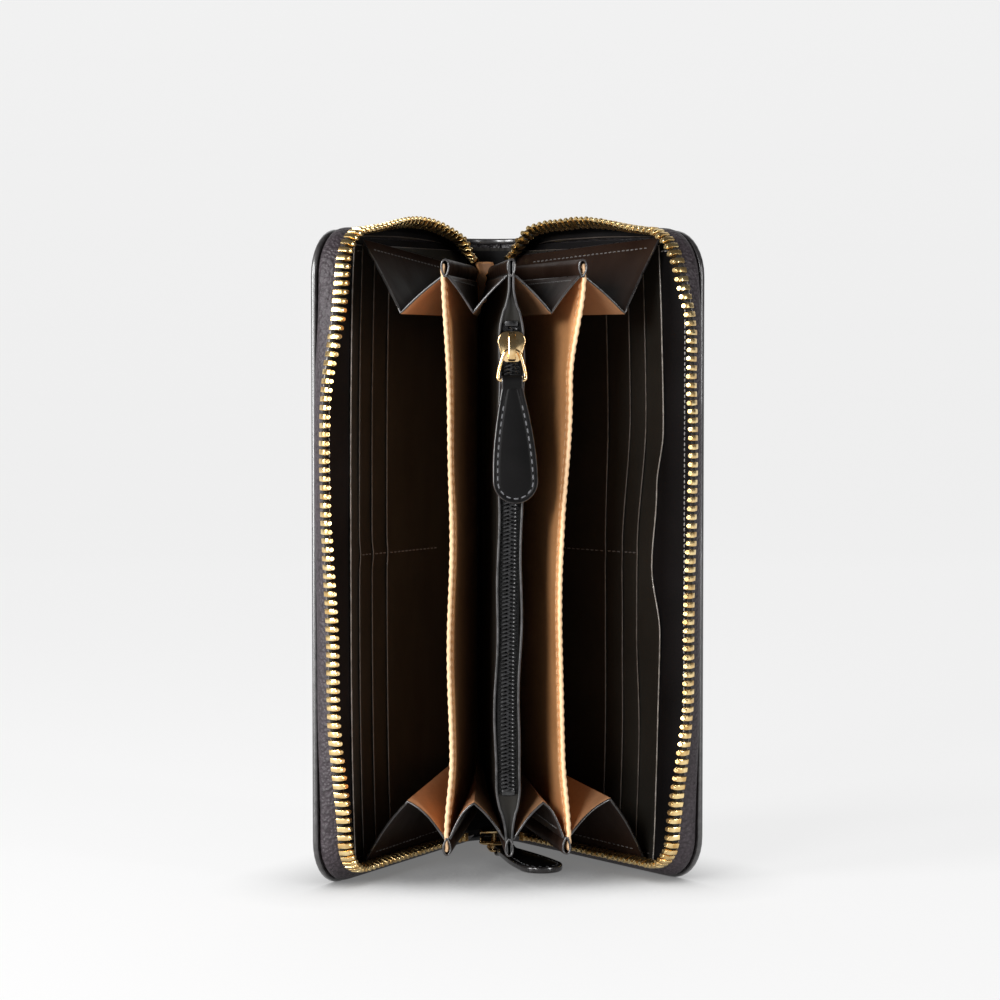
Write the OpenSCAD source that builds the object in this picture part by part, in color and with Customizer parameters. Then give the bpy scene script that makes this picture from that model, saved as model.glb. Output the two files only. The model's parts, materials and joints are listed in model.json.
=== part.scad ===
// Zip-around long wallet, standing on one short end with its two covers fanned open.
// +Z runs along the long side, the mouth faces -Y and the spine faces +Y.
// Both covers, both dividers and both rows of zip teeth turn about one upright
// line, the fold axis, which passes through the two ends of the zip.

/* [Wallet] */
// Length of the covers, which is the height as it stands
wallet_h = 196; // [180:1:210]
// Distance from the fold axis to the front edge of a cover
cover_len = 90.4; // [85:0.2:95]
// Half of the thickness when shut
half_thick = 13; // [12.5:0.5:14]
// Radius of the two front corners of a cover
corner_r = 14; // [10:1:18]

/* [Opening] */
// Angle of each cover from the middle plane, as it stands
cover_angle = 31.8; // [25:0.1:40]
// Angle of each divider from the middle plane, as it stands
divider_angle = 10; // [8:0.5:14]

/* [Zip round the covers] */
// Distance from one tooth to the next
tooth_pitch = 2.6; // [2.4:0.1:3]
// Size of a tooth: along the row, across it, and through it
tooth_size = [1.3, 4.4, 2.4];
// From the cover's edge to the middle of the row of teeth
row_reach = 9.2; // [8.6:0.1:9.4]
// Share of that which the leather band takes, before the bare tape
band_share = 0.64; // [0.55:0.01:0.7]

/* [Inside] */
// Lower end of the dividers and the coin pocket
inner_bottom = 11.6; // [11:0.1:12.4]
// Upper end of the dividers and the coin pocket
inner_top = 185.6; // [170:0.1:186]
// Distance from the fold axis to the front edge of the dividers
inner_len = 79.4; // [76:0.1:82]
// Distance from the fold axis to the mouth of the slip pocket
slip_len = 72.5; // [68:0.5:74]
// Distance from the fold axis to the mouth of each row of card slots
card_len = [68.3, 61.7, 53.6];
// Half of the coin pocket's thickness
pocket_half = 3.6; // [3.4:0.1:3.8]

/* [Sliders and pulls] */
// Length of the leather pulls
pull_len = 36; // [30:1:38]
// Width of a leather pull at its round end
pull_w = 13.4; // [12:0.1:13.6]
// Width of a leather pull at its loop
pull_neck_w = 5.8; // [5:0.1:6.5]
// Height of the coin pocket's slider
coin_slider_z = 161; // [150:1:165]
// Angle of the main pull from the middle plane, towards the right cover
main_pull_angle = 18; // [14:1:28]

/* [Hidden] */
$fn = 48;

LEFT = -1;
RIGHT = 1;
// The fold axis's place, which puts the box's middle at Y = 0
axis_y = 35.22;

// Layers of a cover, as distances from the middle plane when shut
leather_t = 1.2;
leather_v = half_thick - leather_t;
board_v = leather_v - 1;
lining_v = board_v - 0.4;
layer_t = 0.5;
layer_step = 0.6;
slip_v = lining_v - layer_step;
divider_v = [5, 6.2];
wall_t = 0.8;

// Spine, as radii about the fold axis
spine_board_r = [10.5, 11.6];
spine_lining_r = [9.8, 10.4];
inner_back = 5;
pocket_back = 8.4;

// The row of teeth is hinged on the cover's edge by the band. Each key holds a length
// along the edge from the spine's top, the band's lean outwards from square to the cover,
// and the lean of the teeth themselves, in degrees.
edge_inset = 0.8;
edge_r = corner_r - edge_inset;
run_end = cover_len - corner_r;
corner_arc = edge_r * PI / 2;
run_side = wallet_h - 2 * corner_r;
s_top = run_end;
s_front = s_top + corner_arc;
s_low = s_front + run_side;
s_bottom = s_low + corner_arc;
s_end = s_bottom + run_end;
sunk_lean = -25;
row_keys = [
    [0, -45, -45], [7, -34, -34], [18, 2, 2], [42, 28, 28], [s_top, 3, 3],
    [s_front, 2, 2], [s_front + 0.2 * run_side, 42, 42], [s_front + 0.4 * run_side, 45, 45],
    [s_front + 0.6 * run_side, 33, 33], [s_front + 0.8 * run_side, 23, 23],
    [s_low, -12, -6], [s_bottom, sunk_lean, 0], [s_end, sunk_lean, 0]
];
band_t = 1.2;
tape_t = 0.6;
tape_end = 1 - (tooth_size[1] / 2 + 0.45) / row_reach;
strip_step = 5;
slider_room = 15;

function key_at(s, i = 0) = (i >= len(row_keys) - 2 || s < row_keys[i + 1][0]) ? i : key_at(s, i + 1);
function slope(i) = (i == 0 || i >= len(row_keys) - 2) ? [0, 0, 0] :
    (row_keys[i + 1] - row_keys[i - 1]) / (row_keys[i + 1][0] - row_keys[i - 1][0]);
// Smooth curve through the keys
function lean_at(s) = let (
    i = key_at(s),
    a = row_keys[i],
    b = row_keys[i + 1],
    w = b[0] - a[0],
    t = min(1, max(0, (s - a[0]) / w))
) a * (1 - 3 * t * t + 2 * t * t * t) + b * (3 * t * t - 2 * t * t * t)
    + slope(i) * w * t * (1 - t) * (1 - t) + slope(i + 1) * w * t * t * (t - 1);

// The cover's edge at length s: [distance from the axis, height, outward normal]
function edge_at(s) =
    s < s_top ? [s, wallet_h - edge_inset, 0, 1] :
    s < s_front ? let (a = (s - s_top) / corner_arc * 90)
        [run_end + edge_r * sin(a), wallet_h - corner_r + edge_r * cos(a), sin(a), cos(a)] :
    s < s_low ? [cover_len - edge_inset, wallet_h - corner_r - (s - s_front), 1, 0] :
    s < s_bottom ? let (a = (s - s_low) / corner_arc * 90)
        [run_end + edge_r * cos(a), corner_r - edge_r * sin(a), cos(a), -sin(a)] :
    [run_end - (s - s_bottom), edge_inset, 0, -1];

// Points in a left cover's own frame, where it is shut: X is minus the distance from
// the middle plane and Y is minus the distance from the fold axis
function edge_point(s) = let (e = edge_at(s)) [-leather_v, -e[0], e[1]];
// Inwards from the edge, leaning outwards by angle f in the plane square to the edge
function leaning(s, f) = let (e = edge_at(s)) [cos(f), -e[2] * sin(f), e[3] * sin(f)];
function row_point(s) = edge_point(s) + row_reach * leaning(s, lean_at(s)[1]);
function unit(p) = p / norm(p);
function row_across(s) = leaning(s, lean_at(s)[2]);
function row_along(s) = let (
    d = unit(row_point(min(s_end, s + 0.5)) - row_point(max(0, s - 0.5))),
    a = row_across(s)
) unit(d - a * (d * a));
function row_through(s) = cross(row_across(s), row_along(s));
function band_through(s) = let (
    d = unit(row_point(min(s_end, s + 0.5)) - row_point(max(0, s - 0.5))),
    a = leaning(s, lean_at(s)[1])
) unit(cross(a, d));

// A point at distance u from the fold axis and v from the middle plane, turned by angle
function fan_point(side, angle, u, v, z) =
    [side * (u * sin(angle) + v * cos(angle)), axis_y - u * cos(angle) + v * sin(angle), z];

// A sheet between two grids of points, upper[i][j] and lower[i][j], as one closed solid
module sheet_solid(upper, lower) {
    n = len(upper);
    m = len(upper[0]);
    points = [for (side = [upper, lower]) for (ring = side) for (p = ring) p];
    function at(k, i, j) = k * n * m + i * m + j;
    function two(a, b, c, d) = [[a, b, c], [a, c, d]];
    faces = concat(
        [for (i = [0:n - 2]) for (j = [0:m - 2])
            for (f = two(at(0, i, j), at(0, i + 1, j), at(0, i + 1, j + 1), at(0, i, j + 1))) f],
        [for (i = [0:n - 2]) for (j = [0:m - 2])
            for (f = two(at(1, i, j), at(1, i, j + 1), at(1, i + 1, j + 1), at(1, i + 1, j))) f],
        [for (i = [0:n - 2]) for (f = two(at(0, i, 0), at(1, i, 0), at(1, i + 1, 0), at(0, i + 1, 0))) f],
        [for (i = [0:n - 2]) for (f =
            two(at(0, i, m - 1), at(0, i + 1, m - 1), at(1, i + 1, m - 1), at(1, i, m - 1))) f],
        [for (j = [0:m - 2]) for (f = two(at(0, 0, j), at(0, 0, j + 1), at(1, 0, j + 1), at(1, 0, j))) f],
        [for (j = [0:m - 2]) for (f =
            two(at(0, n - 1, j), at(1, n - 1, j), at(1, n - 1, j + 1), at(0, n - 1, j + 1))) f]
    );
    polyhedron(points = points, faces = faces, convexity = 6);
}

// Places a part that is drawn for the left side, shut, at its side and angle
module fan(side, angle) {
    translate([0, axis_y, 0]) mirror([side == RIGHT ? 1 : 0, 0, 0]) rotate([0, 0, -angle]) children();
}

// A flat layer: a 2D outline of distance and height, between two distances from the middle plane
module layer(v_low, v_high) {
    rotate([90, 0, -90]) translate([0, 0, v_low]) linear_extrude(v_high - v_low) children();
}

module cover_outline(back, inset) {
    r = corner_r - inset;
    translate([back, inset]) square([run_end - back, wallet_h - 2 * inset]);
    translate([back, corner_r]) square([cover_len - inset - back, run_side]);
    for (z = [corner_r, wallet_h - corner_r]) translate([run_end, z]) circle(r);
}

module cover_leather(side) {
    color([0.09, 0.085, 0.09]) fan(side, cover_angle) layer(leather_v, half_thick) cover_outline(0, 0);
}

module cover_board(side) {
    color([0.45, 0.4, 0.33]) fan(side, cover_angle) layer(board_v, leather_v) cover_outline(2, 3);
}

module cover_lining(side) {
    color([0.06, 0.055, 0.05]) fan(side, cover_angle) layer(lining_v, board_v) cover_outline(2, 2.2);
}

// One flat pocket panel of a cover: the slip panel is panel 0, and the card slots lie on it
module pocket_panel(side, index, front) {
    v = slip_v - index * layer_step;
    margin = 4.5;
    color([0.07, 0.065, 0.06]) fan(side, cover_angle) layer(v, v + layer_t)
        translate([2, margin]) square([front - 2, wallet_h - 2 * margin]);
}

// A strip along the cover's edge, between two shares of the way from the edge to the row of teeth
module edge_strip(side, s_from, s_to, share_from, share_to, thick) {
    steps = ceil((s_to - s_from) / strip_step);
    lengths = [for (i = [0:steps]) s_from + (s_to - s_from) * i / steps];
    function at(s, share, h) = edge_point(s) + (row_point(s) - edge_point(s)) * share + band_through(s) * h;
    upper = [for (s = lengths) [for (f = [share_from, share_to]) at(s, f, thick / 2)]];
    lower = [for (s = lengths) [for (f = [share_from, share_to]) at(s, f, -thick / 2)]];
    fan(side, cover_angle) sheet_solid(upper, lower);
}

module zip_band(side) {
    color([0.1, 0.09, 0.1]) edge_strip(side, 2, s_end - 2, 0.08, band_share, band_t);
}

module zip_tape(side) {
    color([0.05, 0.05, 0.05]) edge_strip(side, 4, s_end - slider_room, band_share + 0.005, tape_end, tape_t);
}

module zip_teeth(side) {
    first = 6;
    count = floor((s_end - slider_room - first) / tooth_pitch);
    // The right row is half a pitch further on, so that the rows mesh
    shift = side == RIGHT ? tooth_pitch / 2 : 0;
    color([0.83, 0.66, 0.33]) fan(side, cover_angle) for (i = [0:count - 1]) {
        s = first + shift + i * tooth_pitch;
        a = row_along(s);
        b = row_across(s);
        c = row_through(s);
        p = row_point(s);
        multmatrix([[a[0], b[0], c[0], p[0]], [a[1], b[1], c[1], p[1]], [a[2], b[2], c[2], p[2]], [0, 0, 0, 1]])
            cube(tooth_size, center = true);
    }
}

module divider(side) {
    color([0.78, 0.56, 0.36]) fan(side, divider_angle) layer(divider_v[0], divider_v[1])
        translate([-inner_back, inner_bottom]) square([inner_len + inner_back, inner_top - inner_bottom]);
}

// The spine's layers are arcs about the fold axis
module spine_arc(radii, half_angle, inset) {
    translate([0, axis_y, inset]) rotate([0, 0, 90 - half_angle]) rotate_extrude(angle = 2 * half_angle)
        translate([radii[0], 0]) square([radii[1] - radii[0], wallet_h - 2 * inset]);
}

module spine_leather() {
    color([0.09, 0.085, 0.09]) spine_arc([leather_v, half_thick], 90 - cover_angle - 0.5, 0);
}

module spine_board() {
    color([0.45, 0.4, 0.33]) spine_arc(spine_board_r, 48, 3);
}

module spine_lining() {
    color([0.07, 0.065, 0.06]) spine_arc(spine_lining_r, 46, 4);
}

// Accordion folds. A fold hangs between a cover or wall and its neighbour, as a V
// that points into the wallet and is as deep at the spine as at the mouth.
fold_t = 0.7;
fold_back = 3;
fold_rings = 8;
pinch = 4;
top_valley = 171;
bottom_valley = [26, 31];
cover_fold_front = 69;
top_cover_line = [186, 193];
bottom_cover_line = [4.6, 4.6];

module fold(side, a_line, valley_line, b_line) {
    lines = [a_line, valley_line, b_line];
    function along(line, t) = line[0] + (line[1] - line[0]) * t;
    grid = [for (i = [0:fold_rings]) [for (line = lines) along(line, i / fold_rings)]];
    upper = [for (ring = grid) [for (p = ring) p + [0, 0, fold_t / 2]]];
    lower = [for (ring = grid) [for (p = ring) p - [0, 0, fold_t / 2]]];
    color([0.08, 0.075, 0.07]) sheet_solid(
        side == LEFT ? upper : lower,
        side == LEFT ? lower : upper
    );
}

// A line of two points from the spine to the mouth, at one angle
function fan_line(side, angle, u, v, z) =
    [fan_point(side, angle, u[0], v[0], z[0]), fan_point(side, angle, u[1], v[1], z[1])];

module outer_gusset(side, at_top) {
    card_face = slip_v - 3 * layer_step - 0.4;
    mid = (cover_angle + divider_angle) / 2;
    end_z = at_top ? top_cover_line : bottom_cover_line;
    pinch_z = at_top ? inner_top - pinch : inner_bottom + pinch;
    valley_z = at_top ? [top_valley, top_valley] : [bottom_valley[1], bottom_valley[0]];
    fold(side,
        fan_line(side, cover_angle, [fold_back, cover_fold_front], [card_face, card_face], end_z),
        fan_line(side, mid, [fold_back, inner_len - 2], [7.2, 7.2], valley_z),
        fan_line(side, divider_angle, [fold_back, inner_len - 1], [6.5, 6.5], [pinch_z, pinch_z]));
}

module inner_gusset(side, at_top) {
    pinch_z = at_top ? inner_top - pinch : inner_bottom + pinch;
    valley_z = at_top ? [top_valley, top_valley] : [bottom_valley[1], bottom_valley[0]];
    fold(side,
        fan_line(side, divider_angle, [fold_back, inner_len - 1], [4.7, 4.7], [pinch_z, pinch_z]),
        fan_line(side, divider_angle / 2, [fold_back, inner_len - 2], [4.3, 4.3], valley_z),
        fan_line(side, 0, [fold_back, inner_len - 1], [2.1, 2.1], [pinch_z, pinch_z]));
}

// Coin pocket: two bowed walls that close to a thin edge at both ends
end_half = 1.0;
taper = 17;
coin_front = 78.9;
coil_half = [0.35, 1.9];

module coin_pocket_wall(side) {
    outline = [
        [end_half - wall_t, inner_bottom], [end_half, inner_bottom],
        [pocket_half, inner_bottom + taper], [pocket_half, inner_top - taper],
        [end_half, inner_top], [end_half - wall_t, inner_top],
        [pocket_half - wall_t, inner_top - taper], [pocket_half - wall_t, inner_bottom + taper]
    ];
    color([0.07, 0.065, 0.06]) translate([0, axis_y + pocket_back, 0]) mirror([side == LEFT ? 1 : 0, 0, 0])
        rotate([90, 0, 0]) linear_extrude(inner_len + pocket_back) polygon(outline);
}

module coin_pocket_base() {
    base_t = 0.8;
    half = pocket_half - wall_t;
    color([0.07, 0.065, 0.06]) translate([-half, axis_y + pocket_back - base_t, inner_bottom + taper])
        cube([2 * half, base_t, inner_top - inner_bottom - 2 * taper]);
}

module coin_zip_tape(side) {
    half = pocket_half - wall_t;
    color([0.05, 0.05, 0.05]) mirror([side == LEFT ? 1 : 0, 0, 0])
        translate([coil_half[1], axis_y - coin_front - 0.3, inner_bottom + taper])
            cube([half - coil_half[1], 0.6, inner_top - inner_bottom - 2 * taper]);
}

module coin_zip_coil(side) {
    coil_t = 1.5;
    color([0.12, 0.12, 0.12]) mirror([side == LEFT ? 1 : 0, 0, 0])
        translate([coil_half[0], axis_y - coin_front - coil_t / 2, inner_bottom + taper + 2])
            cube([coil_half[1] - coil_half[0], coil_t, inner_top - inner_bottom - 2 * taper - 4]);
}

module coin_zip_stops() {
    size = [2 * coil_half[1], 1.8, 1.6];
    color([0.1, 0.1, 0.1])
        for (z = [inner_bottom + taper + 0.8, inner_top - taper - 0.8])
            translate([0, axis_y - coin_front, z]) cube(size, center = true);
}

// Leather tab over the top end of the zip, with a tail down one side of the pocket
module zip_end_tab() {
    tab_t = 2.5;
    color([0.72, 0.5, 0.32]) translate([0, axis_y - 2.6, 0]) {
        translate([-3.4, 0, inner_top + 0.6]) cube([6.8, tab_t, 3.6]);
        translate([-4.5, 0, inner_top - 10]) cube([1.5, tab_t, 14.2]);
    }
}

// A slider drawn about the middle of its row of teeth: the row runs along X, the mouth
// is at +X, and the pull's bridge stands on the +Z plate
slider_gap = 1.35;
plate_t = 0.9;
bridge_h = 2.2;
bail_wire = 0.55;

module slider_plate(length, width, tail_width) {
    r = width / 2;
    linear_extrude(plate_t) difference() {
        union() {
            translate([length / 2 - r, 0]) circle(r);
            polygon([
                [-length / 2, -tail_width / 2], [-length / 2, tail_width / 2],
                [length / 2 - r, width / 2], [length / 2 - r, -width / 2]
            ]);
        }
        translate([length / 2 + 0.4, 0]) circle(1.1);
    }
}

module slider_body(length, width, back_width, post_half) {
    translate([0, 0, slider_gap]) slider_plate(length, width, width * 0.62);
    translate([0, 0, -slider_gap - plate_t]) slider_plate(length - 1, back_width, back_width * 0.7);
    translate([length / 2 - 3.6, -post_half, -slider_gap - 0.01]) cube([2, 2 * post_half, 2 * slider_gap + 0.02]);
    bridge(length);
}

// The bridge is an arch, and the bail's wire passes under it
module bridge(length) {
    w = 2.2;
    top = slider_gap + plate_t;
    rotate([90, 0, 0]) translate([0, 0, -w / 2]) linear_extrude(w) difference() {
        translate([-length * 0.36, top - 0.01]) square([length * 0.72, bridge_h]);
        translate([-length * 0.36 + 0.8, top + 0.02]) square([length * 0.72 - 1.6, bridge_h - 0.8]);
    }
}

// A bail in the XY plane: its narrow bar is at the origin and it reaches along -X
bail_len = 9;
bail_narrow = 4.6;
bail_wide = 9.2;

module bail_shape() {
    corners = [
        [0, -bail_narrow / 2], [0, bail_narrow / 2],
        [-bail_len, bail_wide / 2], [-bail_len, -bail_wide / 2]
    ];
    for (i = [0:3]) {
        from = corners[i];
        to = corners[(i + 1) % 4];
        translate([from[0], from[1], 0]) {
            sphere(bail_wire + 0.05);
            rotate([0, 0, atan2(to[1] - from[1], to[0] - from[0])]) rotate([0, 90, 0])
                cylinder(r = bail_wire, h = norm(to - from));
        }
    }
}

// A leather pull in the XY plane: its loop is round the origin and it reaches along -X
pull_t = 2;
loop_bore = bail_wire + 0.35;

module pull_shape() {
    r = pull_w / 2;
    loop_r = loop_bore + 0.75;
    difference() {
        union() {
            rotate([90, 0, 0]) cylinder(r = loop_r, h = pull_neck_w, center = true);
            translate([0, 0, -pull_t / 2]) linear_extrude(pull_t) {
                translate([-pull_len + r, 0]) circle(r);
                polygon([
                    [0, -pull_neck_w / 2], [0, pull_neck_w / 2],
                    [-pull_len + r, r], [-pull_len + r, -r]
                ]);
            }
        }
        rotate([90, 0, 0]) cylinder(r = loop_bore, h = 2 * pull_w, center = true);
        translate([-1.9, -pull_w, -bail_wire - 0.25]) cube([1.9, 2 * pull_w, 2 * bail_wire + 0.5]);
    }
}

// The coin slider runs down the pocket's zip, with its mouth up and its pull to the front
module on_coin_zip() {
    translate([0, axis_y - coin_front, coin_slider_z]) rotate([90, 0, 0]) rotate([0, 0, 90]) children();
}

bridge_wire = slider_gap + plate_t + 0.7;

module coin_slider() {
    color([0.87, 0.74, 0.46]) on_coin_zip() slider_body(9, 8.2, 5.2, 0.25);
}

module coin_bail() {
    color([0.87, 0.74, 0.46]) on_coin_zip() translate([-1, 0, bridge_wire]) bail_shape();
}

module coin_pull() {
    color([0.06, 0.06, 0.06]) on_coin_zip() translate([-1 - bail_len, 0, bridge_wire]) pull_shape();
}

// The main slider stands at the spine's end of the bottom run, with its pull underneath
main_slider_u = 7;
row_z = edge_inset + row_reach * sin(-sunk_lean);

module on_main_zip() {
    translate([0, axis_y - main_slider_u, row_z]) rotate([0, 0, -90]) rotate([180, 0, 0]) children();
}

main_bail_u = 2;
main_pull_droop = 0.9;

module main_slider() {
    color([0.83, 0.66, 0.33]) on_main_zip() slider_body(11, 9.4, 9.4, 0.8);
}

module on_main_bridge() {
    on_main_zip() translate([main_bail_u, 0, bridge_wire]) rotate([0, 0, 180 - main_pull_angle]) children();
}

module main_bail() {
    color([0.83, 0.66, 0.33]) on_main_bridge() bail_shape();
}

module main_pull() {
    color([0.06, 0.06, 0.06]) on_main_bridge() translate([-bail_len, 0, 0]) rotate([0, main_pull_droop, 0])
        pull_shape();
}

spine_leather();
spine_board();
spine_lining();
coin_pocket_wall(LEFT);  // coin_pocket_left_wall
coin_pocket_wall(RIGHT);  // coin_pocket_right_wall
coin_pocket_base();
coin_zip_tape(LEFT);  // coin_zip_left_tape
coin_zip_tape(RIGHT);  // coin_zip_right_tape
coin_zip_coil(LEFT);  // coin_zip_left_coil
coin_zip_coil(RIGHT);  // coin_zip_right_coil
coin_zip_stops();
zip_end_tab();
coin_slider();
coin_bail();
coin_pull();
main_slider();
main_bail();
main_pull();
cover_leather(LEFT);  // left_cover_leather
cover_board(LEFT);  // left_cover_board
cover_lining(LEFT);  // left_cover_lining
pocket_panel(LEFT, 0, slip_len);  // left_slip_panel
pocket_panel(LEFT, 1, card_len[0]);  // left_card_slot_1
pocket_panel(LEFT, 2, card_len[1]);  // left_card_slot_2
pocket_panel(LEFT, 3, card_len[2]);  // left_card_slot_3
zip_band(LEFT);  // left_zip_band
zip_tape(LEFT);  // left_zip_tape
zip_teeth(LEFT);  // left_zip_teeth
divider(LEFT);  // left_divider
outer_gusset(LEFT, true);  // left_outer_gusset_top
outer_gusset(LEFT, false);  // left_outer_gusset_bottom
inner_gusset(LEFT, true);  // left_inner_gusset_top
inner_gusset(LEFT, false);  // left_inner_gusset_bottom
cover_leather(RIGHT);  // right_cover_leather
cover_board(RIGHT);  // right_cover_board
cover_lining(RIGHT);  // right_cover_lining
pocket_panel(RIGHT, 0, slip_len);  // right_slip_panel
pocket_panel(RIGHT, 1, card_len[0]);  // right_card_slot_1
pocket_panel(RIGHT, 2, card_len[1]);  // right_card_slot_2
pocket_panel(RIGHT, 3, card_len[2]);  // right_card_slot_3
zip_band(RIGHT);  // right_zip_band
zip_tape(RIGHT);  // right_zip_tape
zip_teeth(RIGHT);  // right_zip_teeth
divider(RIGHT);  // right_divider
outer_gusset(RIGHT, true);  // right_outer_gusset_top
outer_gusset(RIGHT, false);  // right_outer_gusset_bottom
inner_gusset(RIGHT, true);  // right_inner_gusset_top
inner_gusset(RIGHT, false);  // right_inner_gusset_bottom
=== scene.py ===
import bmesh
import bpy
import json
import random
import numpy as np
from math import cos, exp, pi, radians, sin, sqrt
from mathutils import Matrix, Vector


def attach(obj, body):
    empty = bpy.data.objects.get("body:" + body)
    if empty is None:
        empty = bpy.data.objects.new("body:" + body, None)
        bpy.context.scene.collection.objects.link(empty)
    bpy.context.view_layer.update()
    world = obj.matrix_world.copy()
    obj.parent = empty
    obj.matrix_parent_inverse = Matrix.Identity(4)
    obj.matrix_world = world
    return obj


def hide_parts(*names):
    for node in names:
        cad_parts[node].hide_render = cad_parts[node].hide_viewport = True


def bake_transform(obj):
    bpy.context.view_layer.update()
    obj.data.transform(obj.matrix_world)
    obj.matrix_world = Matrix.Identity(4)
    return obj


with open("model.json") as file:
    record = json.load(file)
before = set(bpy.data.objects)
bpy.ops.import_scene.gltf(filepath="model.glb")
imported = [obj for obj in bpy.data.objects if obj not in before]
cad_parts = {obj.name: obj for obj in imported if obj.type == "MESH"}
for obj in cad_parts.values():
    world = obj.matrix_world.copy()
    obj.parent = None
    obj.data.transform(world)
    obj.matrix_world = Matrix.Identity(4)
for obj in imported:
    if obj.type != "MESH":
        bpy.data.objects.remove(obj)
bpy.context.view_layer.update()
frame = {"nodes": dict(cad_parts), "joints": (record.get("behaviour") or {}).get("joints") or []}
JOINTS = {j["name"]: j for j in frame["joints"]}
MM = 0.001
LEFT, RIGHT = -1, 1
NAMES = {LEFT: "left", RIGHT: "right"}
ROOT = "wallet_middle"
RNG = random.Random(7)

# ---- sizes, in millimetres
AXIS_Y = JOINTS["left_divider_turn"]["pos_m"][1] / MM
COVER_ANGLE, DIVIDER_ANGLE = 31.8, 10.0
HEIGHT, COVER_LEN, CORNER_R, HALF = 196.0, 90.4, 14.0, 13.0
LEATHER_V = HALF - 1.2
EDGE_INSET, REACH = 0.8, 9.2
INNER_LOW, INNER_TOP, INNER_LEN = 11.6, 185.6, 79.4
PITCH = 2.6
COIN_U, COIN_SLIDER_Z = 78.9, 161.0
RUN_END = COVER_LEN - CORNER_R
EDGE_R = CORNER_R - EDGE_INSET
ARC = EDGE_R * pi / 2
SIDE_RUN = HEIGHT - 2 * CORNER_R
S_TOP = RUN_END
S_FRONT = S_TOP + ARC
S_LOW = S_FRONT + SIDE_RUN
S_BOTTOM = S_LOW + ARC
S_END = S_BOTTOM + RUN_END
SUNK = -25.0
MIDDLE = HEIGHT / 2
LINING_V, POCKET_V, POCKET_STEP = 10.32, 9.8, 0.6
DIVIDER_V, TAPE_U = 5.6, 78.6
PINCH = 4.0
ENDS = {"top": (INNER_TOP - PINCH, 1), "bottom": (INNER_LOW + PINCH, -1)}
# (length along the cover's edge, the band's lean, the teeth's lean), in degrees
KEYS = np.array([
    (0, -45, -45), (7, -34, -34), (18, 2, 2), (42, 28, 28), (S_TOP, 3, 3),
    (S_FRONT, 2, 2), (S_FRONT + 0.2 * SIDE_RUN, 42, 42), (S_FRONT + 0.4 * SIDE_RUN, 45, 45),
    (S_FRONT + 0.6 * SIDE_RUN, 33, 33), (S_FRONT + 0.8 * SIDE_RUN, 23, 23),
    (S_LOW, -12, -6), (S_BOTTOM, SUNK, 0), (S_END, SUNK, 0)], float)


# ---- shapes
def arr(p):
    return np.asarray(p, float)


def vec(*p):
    return np.array(p, float)


def unit(v):
    v = arr(v)
    return v / np.maximum(np.linalg.norm(v, axis=-1, keepdims=True), 1e-12)


def fan(side, angle, u, v, z):
    """Distance u from the fold axis and v from the middle plane, in a frame turned by angle."""
    a = np.radians(angle)
    x = side * (u * np.sin(a) + v * np.cos(a))
    y = AXIS_Y - u * np.cos(a) + v * np.sin(a)
    return np.stack(np.broadcast_arrays(x, y, arr(z)), -1)


def eased(t):
    t = np.clip(t, 0, 1)
    return t * t * (3 - 2 * t)


def slope(i):
    if i == 0 or i >= len(KEYS) - 2:
        return np.zeros(3)
    return (KEYS[i + 1] - KEYS[i - 1]) / (KEYS[i + 1][0] - KEYS[i - 1][0])


def lean(side, s):
    """(band's lean, teeth's lean) at length s along the cover's edge, in degrees. The right arch stands
    fuller, and along the sides both rows lean less than the keys say."""
    down = (s - S_FRONT) / SIDE_RUN
    if side == RIGHT:
        fuller = (15 * exp(-((s - 18) / 12) ** 2) + 13 * exp(-((down - 0.06) / 0.07) ** 2)
                  - 11 * float(eased((down - 0.1) / 0.12) * eased((0.78 - down) / 0.4)))
    else:
        fuller = -6 * float(eased((down + 0.1) / 0.1) * eased((0.9 - down) / 0.3))
    i = int(min(max(np.searchsorted(KEYS[:, 0], s, "right") - 1, 0), len(KEYS) - 2))
    a, b = KEYS[i], KEYS[i + 1]
    w = b[0] - a[0]
    t = min(1.0, max(0.0, (s - a[0]) / w))
    k = (a * (1 - 3 * t * t + 2 * t ** 3) + b * (3 * t * t - 2 * t ** 3)
         + slope(i) * w * t * (1 - t) ** 2 + slope(i + 1) * w * t * t * (t - 1))
    return k[1] + fuller, k[2] + fuller


def edge(s):
    """(u, z) of the cover's edge and its outward normal, at length s."""
    if s < S_TOP:
        return s, HEIGHT - EDGE_INSET, 0.0, 1.0
    if s < S_FRONT:
        a = (s - S_TOP) / EDGE_R
        du, dz = sin(a), cos(a)
        return RUN_END + EDGE_R * du, HEIGHT - CORNER_R + EDGE_R * dz, du, dz
    if s < S_LOW:
        return COVER_LEN - EDGE_INSET, HEIGHT - CORNER_R - (s - S_FRONT), 1.0, 0.0
    if s < S_BOTTOM:
        a = (s - S_LOW) / EDGE_R
        du, dz = cos(a), -sin(a)
        return RUN_END + EDGE_R * du, CORNER_R + EDGE_R * dz, du, dz
    return RUN_END - (s - S_BOTTOM), EDGE_INSET, 0.0, -1.0


def near_edge(s, degrees, r):
    """Closed-cover coordinates (u, v, z) of a point r off the edge line, leaning outwards by degrees."""
    u, z, du, dz = edge(s)
    a = radians(degrees)
    out = r * sin(a)
    return vec(u + du * out, LEATHER_V - r * cos(a), z + dz * out)


def row_point(side, s):
    return near_edge(s, lean(side, s)[0], REACH)


def row_frame(side, s):
    """The tooth's place and its axes: along the row, across it towards the other row, and through."""
    d = unit(row_point(side, min(S_END, s + 0.5)) - row_point(side, max(0, s - 0.5)))
    _, _, du, dz = edge(s)
    f = radians(lean(side, s)[1])
    across = vec(du * sin(f), -cos(f), dz * sin(f))
    along = unit(d - across * d.dot(across))
    return row_point(side, s), along, across, np.cross(across, along)


def on_cover(side, p):
    """The open cover's points from closed-cover coordinates."""
    p = arr(p)
    return fan(side, COVER_ANGLE, p[..., 0], p[..., 1], p[..., 2])


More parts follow.
